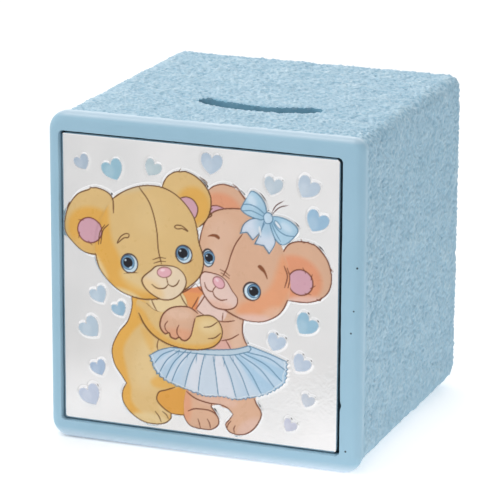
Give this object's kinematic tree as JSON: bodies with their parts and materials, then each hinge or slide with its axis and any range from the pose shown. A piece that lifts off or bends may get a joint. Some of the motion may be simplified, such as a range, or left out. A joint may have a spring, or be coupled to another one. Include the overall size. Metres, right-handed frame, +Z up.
{
  "type": "cube money box",
  "caption": "Hollow cast-resin cube money box with rough painted sides, a bowed coin slot in the top, a rubber stopper in the base and an embossed silver teddy-bear plaque set into the front.",
  "frame": {"origin": "middle of the footprint, on the surface the cube stands on", "axes": "+X to the right of the picture, +Y to the back, +Z up"},
  "size_m": [0.08, 0.075, 0.0815],
  "materials": {
    "painted_resin": "satin sprayed paint over cast resin, rough stucco on the top, sides and back",
    "base_resin": "matte sprayed paint",
    "stopper_rubber": "matte moulded rubber",
    "silver_foil": "bright lacquered silver laminate",
    "backing_board": "plain",
    "foam_tape": "soft foam",
    "print_yellow": "glossy printed lacquer",
    "print_tan": "glossy printed lacquer",
    "print_pale_blue": "glossy printed lacquer",
    "print_bow_blue": "glossy printed lacquer",
    "print_heart": "glossy printed lacquer"
  },
  "bodies": {
    "cube": {"cube_shell": "painted_resin", "base_panel": "base_resin", "plaque_foil": "silver_foil", "plaque_backing": "backing_board", "plaque_tape": "foam_tape", "left_bear_relief": "print_yellow", "right_bear_relief": "print_tan", "skirt_relief": "print_pale_blue", "bow_relief": "print_bow_blue", "heart_reliefs": "print_heart"},
    "stopper": {"stopper": "stopper_rubber"}
  },
  "joints": [
    {"name": "stopper_pull", "type": "slide", "parent": "cube", "child": "stopper", "axis": [0, 0, -1], "range_m": [0, 0.03]}
  ]
}
